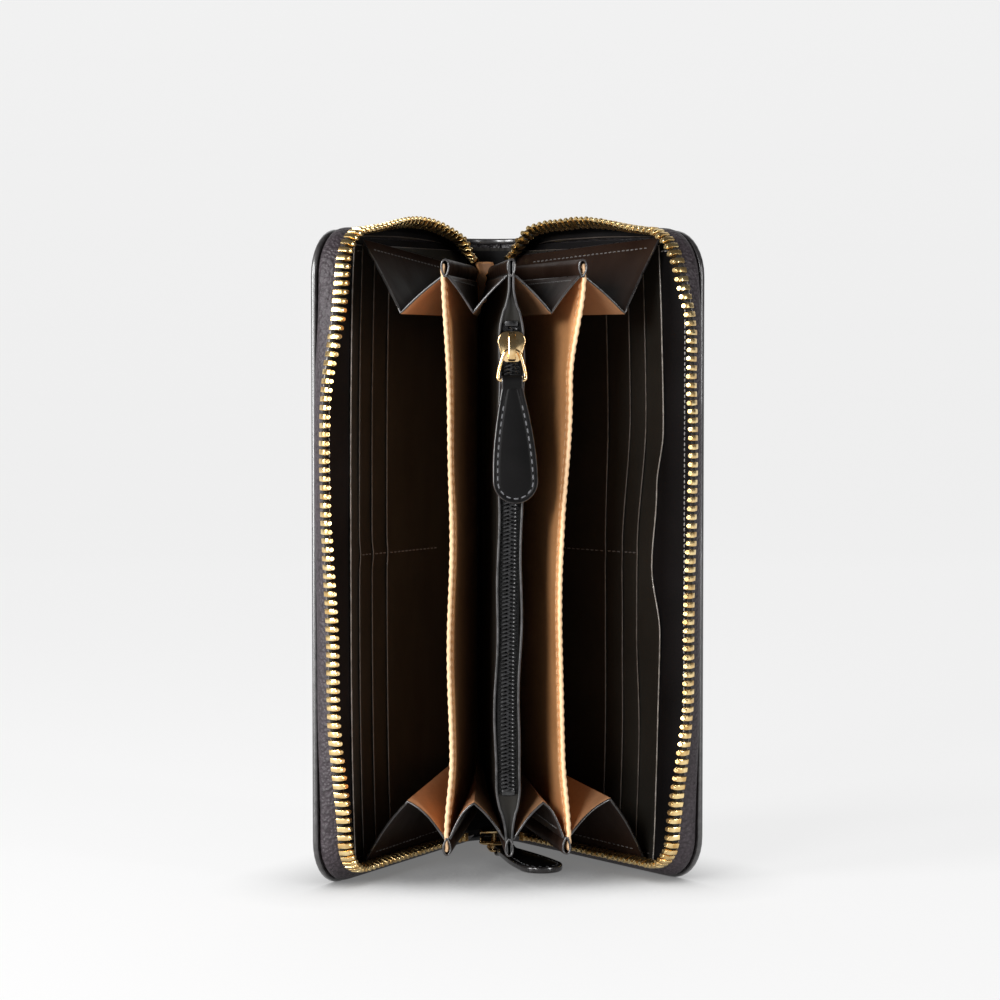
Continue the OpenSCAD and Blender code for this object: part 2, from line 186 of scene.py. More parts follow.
def heading(side, angle, u, v):
    """The direction that goes u forward and v outward in the turned frame."""
    return fan(side, angle, u, v, 0) - fan(side, angle, 0, 0, 0)


def skin(rings, sides, closed=False):
    """Faces between successive rings of points, and over both ends unless the last ring meets the first."""
    faces = []
    for i in range(rings if closed else rings - 1):
        a, b = i * sides, (i + 1) % rings * sides
        for k in range(sides):
            q = (k + 1) % sides
            faces.append((a + k, a + q, b + q, b + k))
    if not closed:
        faces += [tuple(range(sides))[::-1], tuple((rings - 1) * sides + k for k in range(sides))]
    return faces


def put(name, data):
    ob = bpy.data.objects.new(name, data)
    bpy.context.scene.collection.objects.link(ob)
    return ob


def make(name, verts, faces, mats, index=None, smooth=40):
    """A mesh object in metres from points in millimetres, with outward normals."""
    me = bpy.data.meshes.new(name)
    me.from_pydata((arr(verts) * MM).tolist(), [], faces)
    for m in mats if isinstance(mats, (list, tuple)) else [mats]:
        me.materials.append(m)
    if index is not None:
        me.polygons.foreach_set("material_index", index)
    me.validate()
    bm = bmesh.new()
    bm.from_mesh(me)
    bmesh.ops.recalc_face_normals(bm, faces=bm.faces)
    bm.to_mesh(me)
    bm.free()
    me.polygons.foreach_set("use_smooth", [True] * len(me.polygons))
    me.set_sharp_from_angle(angle=radians(smooth))
    me.update()
    return put(name, me)


ROUND = [(sin(a), cos(a)) for a in np.radians([30, 60, 90, 120, 150])]


def rim_loop(n, m):
    """The grid points round a grid's edge, in order."""
    return ([(i, 0) for i in range(n)] + [(n - 1, j) for j in range(1, m)]
            + [(i, m - 1) for i in range(n - 2, -1, -1)] + [(0, j) for j in range(m - 2, 0, -1)])


def sheet_mesh(grid, thick, profile=None, flat=None, fixed=None, outward=None):
    """A closed sheet about a grid of middle points: (points, faces, each face's part).
    Part 0 is the side that faces outward, 1 the other side and 2 the rim. profile goes round the rim as (out of
    the rim, along the normal). flat marks the rim points that are cut square, and fixed gives the way out at
    some rim points."""
    grid = arr(grid)
    n, m, _ = grid.shape
    nor = unit(np.cross(np.gradient(grid, axis=0), np.gradient(grid, axis=1)))
    if outward is not None and np.sum(nor @ arr(outward)) < 0:
        nor = -nor
    h = thick / 2
    top, low = grid + nor * h, grid - nor * h
    loop = rim_loop(n, m)
    k = len(loop)
    ii, jj = np.array(loop).T
    pts, pn = grid[ii, jj], nor[ii, jj]
    before, after = unit(pts - np.roll(pts, 1, 0)), unit(np.roll(pts, -1, 0) - pts)
    out = unit(np.cross(unit(before + after), pn))
    if np.sum((pts - grid[np.clip(ii, 1, n - 2), np.clip(jj, 1, m - 2)]) * out) < 0:
        out = -out
    for q, way in (fixed or {}).items():
        out[q] = way
    profile = profile or [(a * h, b * h) for a, b in ROUND]
    square = np.zeros((k, 1)) if flat is None else arr(flat)[:, None]
    rings = [pts + out * a * (1 - square) + pn * (b * (1 - square) + min(h, max(-h, b)) * square)
             for a, b in profile]
    verts = np.concatenate([top.reshape(-1, 3), low.reshape(-1, 3)] + rings)

    def at(side, i, j):
        return side * n * m + i * m + j

    faces, index = [], []
    for i in range(n - 1):
        for j in range(m - 1):
            faces.append((at(0, i, j), at(0, i + 1, j), at(0, i + 1, j + 1), at(0, i, j + 1)))
            faces.append((at(1, i, j), at(1, i, j + 1), at(1, i + 1, j + 1), at(1, i + 1, j)))
            index += [0, 1]
    chain = [[at(0, i, j) for i, j in loop]]
    chain += [[2 * n * m + r * k + q for q in range(k)] for r in range(len(rings))]
    chain += [[at(1, i, j) for i, j in loop]]
    for a, b in zip(chain, chain[1:]):
        for q in range(k):
            p = (q + 1) % k
            faces.append((a[q], a[p], b[p], b[q]))
            index.append(2)
    return verts, faces, index


def sheet(name, grid, thick, mats, **shape):
    """mats: one material, or three for the side that faces outward, the other side, and the rim."""
    verts, faces, index = sheet_mesh(grid, thick, **shape)
    if not isinstance(mats, (list, tuple)):
        mats, index = [mats], [0] * len(faces)
    return make(name, verts, faces, mats, index, smooth=50)


def tube(path, radius, sides, closed=False, up=None):
    """(points, faces) of a closed tube along a path. up keeps its section from turning."""
    p = arr(path)
    n = len(p)
    t = unit(np.roll(p, -1, 0) - np.roll(p, 1, 0) if closed else np.gradient(p, axis=0))
    r = np.broadcast_to(radius, (n,))
    normal = vec(*(up or (0, 0, 1)))
    if up is None and abs(t[0] @ normal) > 0.9:
        normal = vec(1, 0, 0)
    verts = []
    for i in range(n):
        if up:
            normal = vec(*up)
        normal = unit(normal - t[i] * (normal @ t[i]))
        side = np.cross(t[i], normal)
        for k in range(sides):
            a = 2 * pi * k / sides
            verts.append(p[i] + r[i] * (side * cos(a) + normal * sin(a)))
    return np.array(verts), skin(n, sides, closed)


def joined(parts):
    verts, faces, base = [], [], 0
    for v, f in parts:
        verts.append(arr(v))
        faces += [tuple(i + base for i in q) for q in f]
        base += len(v)
    return np.concatenate(verts), faces


def prism(outline, z0, z1, bevel=0.0, steps=2):
    """A bevelled prism over a 2D outline, along Z."""
    o = arr(outline)
    if bevel:
        turn = [pi / 2 * k / steps for k in range(steps + 1)]
        rings = [(bevel * (1 - sin(a)), z0 + bevel * (1 - cos(a))) for a in turn]
        rings += [(d, z1 - (z - z0)) for d, z in rings[::-1]]
    else:
        rings = [(0, z0), (0, z1)]
    return outline_rings(o, inward_of(o), rings), skin(len(rings), len(o))


def inward_of(o, open_ends=False):
    """The unit vectors into a 2D outline at each of its points."""
    t = unit(np.roll(o, -1, 0) - np.roll(o, 1, 0))
    if open_ends:
        t[0], t[-1] = unit(o[1] - o[0]), unit(o[-1] - o[-2])
    area = 0.5 * np.sum(o[:, 0] * np.roll(o[:, 1], -1) - np.roll(o[:, 0], -1) * o[:, 1])
    return np.stack([-t[:, 1], t[:, 0]], -1) * (1 if area > 0 else -1)


def outline_rings(o, inward, rings):
    """Points of the outline at each (distance inwards, height)."""
    return np.concatenate([np.column_stack([o + inward * d, np.full(len(o), z)]) for d, z in rings])


def placed(part, origin, x, y, z):
    v, f = part
    return arr(origin) + v @ np.array([x, y, z], float), f


def capsule(length, radius):
    """A stitch along X: a thread that dives at both ends."""
    flat, sides = 0.8, 6
    xs = np.array([-0.5, -0.42, -0.2, 0.2, 0.42, 0.5]) * length
    rs = np.array([0.35, 0.8, 1, 1, 0.8, 0.35]) * radius
    drop = np.array([-1.0, -0.35, 0, 0, -0.35, -1.0]) * radius
    verts = []
    for x, r, d in zip(xs, rs, drop):
        for k in range(sides):
            a = 2 * pi * k / sides
            verts.append((x, r * cos(a), d + r * sin(a) * flat))
    return np.array(verts), skin(len(xs), sides)


def stitches(path, normals, step, gap, radius):
    """Parts of a row of stitches on a surface. normals is one vector or one for each path point."""
    p = arr(path)
    nn = np.broadcast_to(arr(normals), p.shape)
    d = np.concatenate([[0], np.cumsum(np.linalg.norm(np.diff(p, axis=0), axis=1))])
    n = max(1, int(round(d[-1] / step)))

    def along(values, m):
        return np.array([np.interp(m, d, values[:, k]) for k in range(3)])

    parts = []
    for i in range(n):
        m = (i + 0.5) * d[-1] / n
        a, b, up = along(p, m - 0.3), along(p, m + 0.3), unit(along(nn, m))
        t = unit(b - a)
        y = np.cross(up, t)
        parts.append(placed(capsule(d[-1] / n - gap, radius), (a + b) / 2, t, y, unit(np.cross(t, y))))
    return parts


def on(piece, body, slot, *nodes):
    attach(piece, body)
    if nodes:
        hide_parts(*nodes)


# ---- materials
class Paint:
    """A procedural material in object space, with sizes in millimetres. A colour is (r, g, b) or one grey."""

    def __init__(self, name, metallic=0.0, **fixed):
        self.mat = bpy.data.materials.new(name)
        self.mat.use_nodes = True
        self.tree = self.mat.node_tree
        self.shader = self.tree.nodes["Principled BSDF"]
        self.shader.inputs["Metallic"].default_value = metallic
        for key, value in fixed.items():
            self.shader.inputs[key.replace("_", " ")].default_value = value
        self.place = self.node("ShaderNodeTexCoord").outputs["Object"]
        self.normal = None

    def node(self, kind, **inputs):
        made = self.tree.nodes.new(kind)
        for key, value in inputs.items():
            self.feed(made.inputs[key.replace("_", " ")], value)
        return made

    def feed(self, socket, value):
        if isinstance(value, bpy.types.NodeSocket):
            self.tree.links.new(value, socket)
        elif isinstance(value, tuple) and len(value) == 3 and socket.type == "RGBA":
            socket.default_value = (*value, 1)
        else:
            socket.default_value = value

    def noise(self, size, detail=3.0, stretch=None):
        place = self.place
        if stretch:
            scale = [1 / c for c in stretch]
            place = self.node("ShaderNodeMapping", Vector=place, Scale=scale).outputs["Vector"]
        return self.node("ShaderNodeTexNoise", Vector=place, Scale=1000 / size, Detail=detail).outputs["Fac"]

    def cells(self, size, feature="SMOOTH_F1"):
        made = self.node("ShaderNodeTexVoronoi", Vector=self.place, Scale=1000 / size)
        made.feature = feature
        return made.outputs["Distance"]

    def weave(self, size, turn):
        turns_per_wave = 3.2
        place = self.node("ShaderNodeMapping", Vector=self.place, Rotation=[radians(c) for c in turn])
        scale = 1000 / size / turns_per_wave
        return self.node("ShaderNodeTexWave", Vector=place.outputs["Vector"], Scale=scale).outputs["Fac"]

    def math(self, how, a, b):
        made = self.tree.nodes.new("ShaderNodeMath")
        made.operation = how
        self.feed(made.inputs[0], a)
        self.feed(made.inputs[1], b)
        return made.outputs[0]

    def ramp(self, value, *stops):
        made = self.tree.nodes.new("ShaderNodeValToRGB")
        self.feed(made.inputs["Fac"], value)
        points = made.color_ramp.elements
        while len(points) < len(stops):
            points.new(0.5)
        for point, (at, colour) in zip(points, stops):
            point.position = at
            point.color = (*colour, 1) if isinstance(colour, tuple) else (colour, colour, colour, 1)
        return made.outputs["Color"]

    def bump(self, height, depth, strength):
        made = self.node("ShaderNodeBump", Height=height, Distance=depth * MM, Strength=strength)
        if self.normal is not None:
            self.feed(made.inputs["Normal"], self.normal)
        self.normal = made.outputs["Normal"]

    def done(self, colour, rough):
        """Each is a ramp: (value, stop, stop)."""
        self.feed(self.shader.inputs["Base Color"], self.ramp(*colour))
        self.feed(self.shader.inputs["Roughness"], self.ramp(*rough))
        if self.normal is not None:
            self.feed(self.shader.inputs["Normal"], self.normal)
        return self.mat


def pebbled_leather(name, dark, light, rough):
    p = Paint(name, Specular_IOR_Level=0.3)
    pebbles = p.cells(0.85)
    fine = p.noise(0.3)
    p.bump(pebbles, 0.42, 0.9)
    p.bump(fine, 0.08, 0.6)
    worn = p.noise(14, 5)
    mixed = p.math("ADD", p.math("MULTIPLY", pebbles, 0.8), p.math("MULTIPLY", worn, 0.15))
    return p.done((mixed, (0.2, light), (0.7, dark)), (worn, (0.3, rough - 0.02), (0.7, rough + 0.03)))


def smooth_leather(name, dark, light, rough, shine, grain=0.5):
    p = Paint(name, Specular_IOR_Level=shine)
    pores = p.cells(grain, "F1")
    creases = p.noise(9, 6, (1, 1, 3))
    p.bump(pores, 0.035, 0.45)
    p.bump(creases, 0.25, 0.25)
    tone = p.noise(22, 4)
    return p.done((tone, (0.3, dark), (0.7, light)), (creases, (0.3, rough - 0.06), (0.7, rough + 0.08)))


def tan_leather(name, dark, light):
    p = Paint(name, Specular_IOR_Level=0.35)
    grain = p.cells(0.4, "F1")
    p.bump(grain, 0.03, 0.4)
    p.bump(p.noise(5, 5), 0.12, 0.3)
    tone = p.math("ADD", p.math("MULTIPLY", p.noise(30, 4), 0.7), p.math("MULTIPLY", p.noise(1.4, 3), 0.3))
    return p.done((tone, (0.32, dark), (0.62, light)), (tone, (0.3, 0.5), (0.7, 0.62)))


def edge_paint(name, dark, light, rough=0.24, coat=0.6, coat_rough=0.12):
    p = Paint(name, Coat_Weight=coat, Coat_Roughness=coat_rough)
    uneven = p.noise(2.2, 3)
    p.bump(uneven, 0.12, 0.35)
    return p.done((uneven, (0.35, dark), (0.65, light)), (uneven, (0.3, rough), (0.7, rough + 0.12)))


def plated_metal(name, dark, light, rough):
    p = Paint(name, metallic=1.0)
    brushed = p.noise(0.5, 3, (1, 1, 6))
    dirt = p.noise(3, 4)
    p.bump(brushed, 0.02, 0.3)
    return p.done((dirt, (0.3, dark), (0.65, light)), (dirt, (0.3, rough + 0.1), (0.7, rough)))


def woven_tape(name, dark, light):
    p = Paint(name, Specular_IOR_Level=0.3, Sheen_Weight=0.08, Sheen_Roughness=0.5)
    threads = p.math("MULTIPLY", p.weave(0.42, (0, 45, 0)), p.weave(0.42, (0, -45, 20)))
    p.bump(threads, 0.12, 0.8)
    return p.done((threads, (0.1, dark), (0.7, light)), (threads, (0.0, 0.85), (1.0, 0.62)))


def nylon(name, dark, light):
    p = Paint(name)
    tone = p.noise(1.6, 3)
    p.bump(p.noise(0.25, 2), 0.02, 0.4)
    return p.done((tone, (0.35, dark), (0.65, light)), (tone, (0.3, 0.2), (0.7, 0.3)))


def thread(name, dark, light):
    p = Paint(name, Sheen_Weight=0.3)
    twist = p.weave(0.25, (30, 40, 0))
    p.bump(twist, 0.05, 0.6)
    return p.done((twist, (0.2, dark), (0.8, light)), (twist, (0.0, 0.6), (1.0, 0.45)))


def pressed_board(name, dark, light):
    p = Paint(name, Specular_IOR_Level=0.2)
    fibres = p.noise(0.8, 6, (1, 1, 5))
    p.bump(fibres, 0.08, 0.5)
    return p.done((fibres, (0.3, dark), (0.7, light)), (fibres, (0.0, 0.95), (1.0, 0.8)))


COVER = pebbled_leather("cover_pebbled_leather", (0.006, 0.005, 0.006), (0.016, 0.013, 0.0145), 0.40)
BAND = pebbled_leather("band_pebbled_leather", (0.015, 0.011, 0.013), (0.042, 0.033, 0.038), 0.5)
GUSSET = smooth_leather("gusset_smooth_leather", (0.011, 0.0056, 0.0038), (0.021, 0.0120, 0.0086), 0.38, 0.02)
POCKET = smooth_leather("pocket_smooth_leather", (0.010, 0.0092, 0.0076), (0.016, 0.0146, 0.0122), 0.46, 0.14)
PULL = smooth_leather("pull_smooth_leather", 0.002, (0.005, 0.0046, 0.0048), 0.38, 0.10, 0.8)
TAN = tan_leather("tan_smooth_leather", (0.50, 0.215, 0.075), (0.68, 0.33, 0.135))
TAN_EDGE = tan_leather("tan_cut_edge", (0.56, 0.34, 0.18), (0.72, 0.49, 0.29))
GUSSET_TAN = tan_leather("gusset_tan_leather", (0.30, 0.145, 0.068), (0.42, 0.22, 0.11))
TAB = tan_leather("zip_end_tab_leather", (0.26, 0.12, 0.055), (0.46, 0.24, 0.12))
EDGE = edge_paint("black_edge_paint", (0.010, 0.009, 0.009), (0.026, 0.023, 0.023))
COVER_EDGE = edge_paint("cover_burnished_edge", (0.012, 0.011, 0.011), (0.034, 0.031, 0.032), 0.3, 1.0, 0.22)
LIP_EDGE = edge_paint("coin_pocket_lip_paint", 0.005, (0.035, 0.033, 0.033), 0.38, 0.08, 0.3)
# card slots' and zip strips' rims: glossy edge paint, coloured lighter than the leather as a painted highlight
SLOT_EDGE_HIGHLIGHT = edge_paint("card_slot_edge_paint_and_highlight", (0.045, 0.036, 0.030), (0.085, 0.070, 0.060), 0.3)
# slip pockets' rims: glossy edge paint, coloured light grey as a painted highlight along the pocket's mouth
SLIP_EDGE_HIGHLIGHT = edge_paint("slip_pocket_edge_paint_and_highlight", (0.18, 0.16, 0.14), (0.38, 0.35, 0.32), 0.3)
GOLD = plated_metal("gold_zip_teeth", (0.62, 0.37, 0.12), (1.0, 0.78, 0.40), 0.22)
PALE_GOLD = plated_metal("pale_gold_slider", (0.60, 0.36, 0.13), (0.96, 0.72, 0.40), 0.09)
TAPE = woven_tape("black_woven_tape", 0.004, (0.022, 0.021, 0.022))
NYLON = nylon("black_nylon_coil", 0.004, (0.018, 0.018, 0.019))
THREAD = thread("black_thread", (0.03, 0.028, 0.027), (0.12, 0.11, 0.105))
PULL_THREAD = thread("grey_thread", (0.03, 0.03, 0.033), (0.14, 0.14, 0.15))
STRIP_THREAD = thread("zip_strip_thread", (0.14, 0.13, 0.125), (0.34, 0.33, 0.32))
TAN_THREAD = thread("tan_thread", (0.42, 0.22, 0.09), (0.62, 0.36, 0.17))
BOARD = pressed_board("dark_pressed_board", (0.010, 0.009, 0.008), (0.030, 0.027, 0.024))
LINING = smooth_leather("cover_lining_leather", (0.003, 0.0028, 0.003), (0.006, 0.0054, 0.0058), 0.55, 0.08)


# ---- soft shapes that several pieces share
def curve(z, points):
    """A smooth value along z through a few (z, value) points."""
    z = arr(z)
    out = np.full(z.shape, float(points[0][1]))
    for (z0, a), (z1, b) in zip(points, points[1:]):
        out = np.where(z >= z0, a + (b - a) * eased((z - z0) / (z1 - z0)), out)
    return out


def divider_share(side, z):
    """How far a divider stands open at height z, as a share of its angle: the leather is slack and bows."""
    if side == LEFT:
        return curve(z, [(15, 0.97), (40, 0.85), (100, 0.88), (185, 1.0)])
    return curve(z, [(15, 0.80), (40, 0.72), (75, 0.67), (110, 0.735), (150, 0.86), (183, 1.15)])


def pocket_shift(u, z):
    """Sideways bow of the coin pocket's mouth."""
    return -1.1 * (u / COIN_U) ** 2 * curve(z, [(8, 0.5), (45, 1.0), (140, 0.1), (170, 0.0)])


def bends(piece, bodies, weights, span, slot, *nodes):
    """Bakes the piece's transform into its mesh and hides the given CAD nodes. bodies and weights are not used.
    """
    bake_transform(piece)
    if nodes:
        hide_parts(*nodes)


def per_vertex(values, shape):
    """Values on a grid as a list for sheet_mesh's points: both sides, then the rings round the rim."""
    v = np.broadcast_to(values, shape)
    return list(v.ravel()) * 2 + [v[i, j] for i, j in rim_loop(*shape)] * len(ROUND)


# ---- covers and spine
BEAD_R = 0.9
SHELL, SHELL_V = 1.2, LEATHER_V + 0.6
BEAD = [(BEAD_R * sin(a) ** 0.5, -0.3 + BEAD_R * cos(a))
        for a in np.radians([12, 25, 45, 65, 90, 115, 135, 155, 168, 180])]
BEAD += [(-0.7, -1.2), (-0.95, -1.0), (-1.0, -0.62)]


def cover_rows():
    r = CORNER_R - BEAD_R
    arc = np.radians(np.linspace(0, 90, 10))
    top = [(HEIGHT - CORNER_R + r * cos(a), RUN_END + r * sin(a)) for a in arc]
    middle = [(z, COVER_LEN - BEAD_R) for z in np.linspace(HEIGHT - CORNER_R, CORNER_R, 20)[1:-1]]
    low = [(HEIGHT - z, u) for z, u in top[::-1]]
    return top + middle + low


def beaded(name, grid, outward, cut):
    """Cover leather with a bead round its rim, cut square along the given columns."""
    n, m = len(grid), len(grid[0])
    loop = rim_loop(n, m)
    flat = [j in cut and 0 < i < n - 1 for i, j in loop]
    fixed = {k: (0, 0, 1 if i == 0 else -1) for k, (i, j) in enumerate(loop) if j in cut and i in (0, n - 1)}
    mats = (COVER, COVER, COVER_EDGE)
    return sheet(name, grid, SHELL, mats, profile=BEAD, flat=flat, fixed=fixed, outward=outward)


def cover_leather(side):
    columns = np.linspace(0, 1, 16)
    grid = [fan(side, COVER_ANGLE, u * columns, SHELL_V, z) for z, u in cover_rows()]
    piece = beaded(f"{NAMES[side]}_cover_shell", grid, heading(side, COVER_ANGLE, 0, 1), (0,))
    on(piece, f"{NAMES[side]}_cover", "cover_leather", f"{NAMES[side]}_cover_leather")


def spine_part(side, name, a_from, a_to, bodies):
    """Leather from angle a_from to a_to off the spine's middle."""
    z = np.linspace(HEIGHT - BEAD_R, BEAD_R, 26)
    turn = np.radians(np.linspace(a_from, a_to, 14))
    grid = np.array([[(side * SHELL_V * sin(t), AXIS_Y + SHELL_V * cos(t), h) for t in turn]
                     for h in z])
    piece = beaded(name, grid, vec(side * sin(turn[0]), cos(turn[0]), 0), (0, len(turn) - 1))
    co = np.array([v.co for v in piece.data.vertices]) / MM
    at = np.degrees(np.arctan2(side * co[:, 0], co[:, 1] - AXIS_Y))
    weights = np.clip((at - a_from) / (a_to - a_from), 0, 1)
    bends(piece, bodies, weights, grid[len(z) // 2, [0, -1]], "cover_leather")
    return piece


def spine(side):
    name = NAMES[side]
    reach = 90 - COVER_ANGLE
    split = reach * DIVIDER_ANGLE / COVER_ANGLE
    first = spine_part(side, f"spine_{name}_inner", 0, split, (ROOT, f"{name}_divider"))
    spine_part(side, f"spine_{name}_outer", split, reach, (f"{name}_divider", f"{name}_cover"))
    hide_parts("spine_leather")


# ---- main zip
def along_row(side, lengths, shares, lift):
    """Points on the leaning strip at shares of the way to the teeth, lifted outwards by lift(s, share)."""
    rows = []
    for s in lengths:
        _, _, du, dz = edge(s)
        f = lean(side, s)[0]
        a = radians(f)
        normal = vec(du * cos(a), sin(a), dz * cos(a))
        rows.append([near_edge(s, f, REACH * share) + normal * lift(s, share) for share in shares])
    return on_cover(side, rows)


def zip_band(side):
    name = NAMES[side]
    lengths = np.arange(1.5, S_END - 1.5, 1.6)
    seam, strip_end = 0.14, 0.725
    shares = np.array([seam, 0.16, 0.19, 0.24, 0.32, 0.42, 0.54, 0.64, 0.70, strip_end])
    knots = 60
    wrinkle = np.cumsum([RNG.uniform(-0.2, 0.2) for _ in range(knots)])
    wrinkle -= np.linspace(wrinkle[0], wrinkle[-1], knots)

    def lift(s, share):
        full = 0.75 * sin(pi * min(1, share / 0.72))
        tucked = 1.2 * exp(-((share - seam) / 0.05) ** 2)
        return full - tucked + 0.18 * np.interp(s / S_END * (knots - 1), range(knots), wrinkle) * share

    rows = along_row(side, lengths, shares, lift)
    outward = heading(side, COVER_ANGLE, 1, 0.3)
    # the strip's rim takes the card slots' lighter rim colour: a painted highlight along its edge by the teeth
    piece = sheet(f"{name}_zip_strip", rows, 0.95, (BAND, LINING, SLOT_EDGE_HIGHLIGHT), outward=outward)
    on(piece, f"{name}_cover", "band_leather", f"{name}_zip_band")
    # the seam that holds the strip, seen on the cover's lining
    inset = 5.4
    path = []
    for s in np.arange(S_TOP - 4, S_BOTTOM + 4, 1.0):
        u, z, du, dz = edge(s)
        path.append(fan(side, COVER_ANGLE, u - inset * du, LINING_V, z - inset * dz))
    seam_parts = stitches(path, heading(side, COVER_ANGLE, 0, -1), 1.6, 0.5, 0.2)
    on(make(f"{name}_zip_strip_stitches", *joined(seam_parts), STRIP_THREAD), f"{name}_cover", "band_leather")


def zip_tape(side):
    name = NAMES[side]
    lengths = np.arange(3, S_END - 12, 1.3)
    rows = along_row(side, lengths, [0.66, 0.74, 0.82, 0.90], lambda s, share: 0)
    piece = sheet(f"{name}_zip_tape_woven", rows, 0.5, TAPE)
    on(piece, f"{name}_cover", "zip_tape", f"{name}_zip_tape")
    path = []
    for s in lengths:
        place, _, across, _ = row_frame(side, s)
        path.append(place - across * 1.3)
    cord = make(f"{name}_zip_cord", *tube(on_cover(side, path), 0.72, sides=8), TAPE)
    on(cord, f"{name}_cover", "zip_tape")


def tooth():
    """A metal tooth about its middle: two legs over the tape's cord, a waist and a round head."""
    back = [(-2.2, -1.2), (0.15, -1.2), (0.75, -0.95), (1.15, -0.6), (1.5, -0.45)]
    legs = [(-2.2, 0.42), (-1.5, 0.42), (-1.3, 0.0), (-1.5, -0.42), (-2.2, -0.42)]
    v, f = prism(mirrored(back) + legs, -0.82, 0.82, 0.26, 2)
    body = (v[:, [2, 0, 1]], f)
    rings, sides = 7, 10
    half_width, half_height, centre, reach = 0.80, 0.90, 1.62, 0.72
    verts = [(0, 0.95, 0)]
    for i in range(1, rings):
        a = pi * i / rings
        dent = 0.16 if i == rings - 1 else 0
        for k in range(sides):
            b = 2 * pi * k / sides
            verts.append((half_width * sin(a) * cos(b), centre - reach * cos(a) - dent,
                          half_height * sin(a) * sin(b)))
    verts.append((0, 1.95, 0))
    last = 1 + (rings - 2) * sides
    faces = [(0, 1 + (k + 1) % sides, 1 + k) for k in range(sides)]
    faces += [tuple(1 + i for i in face) for face in skin(rings - 1, sides)[:-2]]
    faces += [(last + k, last + (k + 1) % sides, len(verts) - 1) for k in range(sides)]
    return joined([body, (np.array(verts), faces)])


def zip_teeth(side):
    name = NAMES[side]
    start, end_gap = 6, 15
    first = start + (PITCH / 2 if side == RIGHT else 0)
    parts = []

    def add(part, p, *axes):
        v, f = placed(part, p, *axes)
        parts.append((on_cover(side, v), f))

    shape = tooth()
    for i in range(int((S_END - end_gap - start) // PITCH)):
        p, along, across, through = row_frame(side, first + i * PITCH)
        p = p + through * RNG.uniform(-0.08, 0.08) + along * RNG.uniform(-0.05, 0.05)
        tilt = RNG.uniform(-0.05, 0.05)
        add(shape, p, unit(along + across * tilt), unit(across - along * tilt), through)
    # bottom and top stops: folded metal clips on the tape
    v, f = prism([(-1.5, -1.3), (1.3, -1.3), (1.3, 1.3), (-1.5, 1.3)], -1.2, 1.2, 0.35, 2)
    for s in (3.6, S_END - 13):
        add((v[:, [2, 0, 1]], f), *row_frame(side, s))
    piece = make(f"{name}_zip_teeth_gold", *joined(parts), GOLD, smooth=35)
    on(piece, f"{name}_cover", "zip_metal", f"{name}_zip_teeth")


# ---- pockets on the covers
SLIP = 72.5
PANEL_LOW = 4.5
SEAM_PULL = -0.9
CARDS = (68.3, 61.7, 53.6)
# how far use has moved the right mouths out of line, as (z, shift) for the slip pocket and each card slot
SAGS = (
    [(40, 0.2), (74, 0.7), (94, -3.2), (118, -0.9), (136, 2.2)],
    [(40, -3.7), (75, -5.5), (97, -5.5), (142, -1.0)],
    [(40, -4.6), (75, -5.2), (97, -5.5), (142, -1.3)],
    [(40, -4.2), (75, -4.8), (97, -5.0), (142, -3.5)])


def pocket_panel(side, index, front, node, ripple):
    name = NAMES[side]
    z = np.linspace(PANEL_LOW, HEIGHT - PANEL_LOW, 120)
    share = np.array([0, 0.25, 0.5, 0.7, 0.82, 0.9, 0.95, 0.98, 1.0])
    off = z - MIDDLE
    fall = np.abs(off / (MIDDLE - PANEL_LOW)) ** 3
    wave = ripple * (np.sin(z / 11.0 + index * 1.9 + side) + 0.6 * np.sin(z / 5.3 + index * 2.7)) * (1 - fall)
    seam = np.exp(-(off / 3.0) ** 2) * (index > 0)
    shift = curve(z, SAGS[index]) if side == RIGHT else SEAM_PULL * seam
    lengths = front - 2 - 2.6 * fall + wave * 0.35 + shift
    gapes = (0.12 + 0.22 * wave) * (1 - seam) * (1 - fall)
    v = POCKET_V - POCKET_STEP * index + 0.25
    rows = fan(side, COVER_ANGLE, 2 + lengths[:, None] * share, v - gapes[:, None] * share ** 3, z[:, None])
    # the slip pocket's rim is painted lighter than the card slots' rims; both colours are painted highlights
    piece = sheet(f"{name}_{node}_leather", rows, 0.46, (POCKET, POCKET, SLOT_EDGE_HIGHLIGHT if index else SLIP_EDGE_HIGHLIGHT))
    on(piece, f"{name}_cover", "pocket_leather", f"{name}_{node}")


def panel_stitches(side):
    """The row of stitches across the card slots, between their two columns, and the slip pocket's border."""
    name = NAMES[side]
    inward = heading(side, COVER_ANGLE, 0, -1)

    def sew(piece, lines):
        parts = []
        for line in lines:
            parts += stitches(line, inward, 2.3, 0.7, 0.17)
        on(make(f"{name}_{piece}_stitches", *joined(parts), THREAD), f"{name}_cover", "pocket_leather")

    pull = [float(curve(MIDDLE, sag)) if side == RIGHT else SEAM_PULL for sag in SAGS[1:]]
    a, b, c = np.add(CARDS, pull)
    lines = []
    for index, (u0, u1) in enumerate(((a - 0.2, b + 0.4), (b - 0.4, c + 0.4), (c - 0.4, 22)), 1):
        u, v = np.linspace(u0, u1, 12), POCKET_V - POCKET_STEP * index - 0.05
        lines.append(fan(side, COVER_ANGLE, u, v, MIDDLE + 0.01 * (u - 50)))
    sew("card_slot", lines)
    border = 6.2
    u = np.linspace(60, 69, 6)
    sew("slip_pocket", [fan(side, COVER_ANGLE, u, POCKET_V - 0.02, z) for z in (border, HEIGHT - border)])


# ---- dividers
def divider_point(side, u, v, z):
    return fan(side, DIVIDER_ANGLE * divider_share(side, z), u, v, z)


def divider_bow(side, z):
    return 0.5 * np.sin(z / 23.0 + side) + 0.25 * np.sin(z / 9.0)


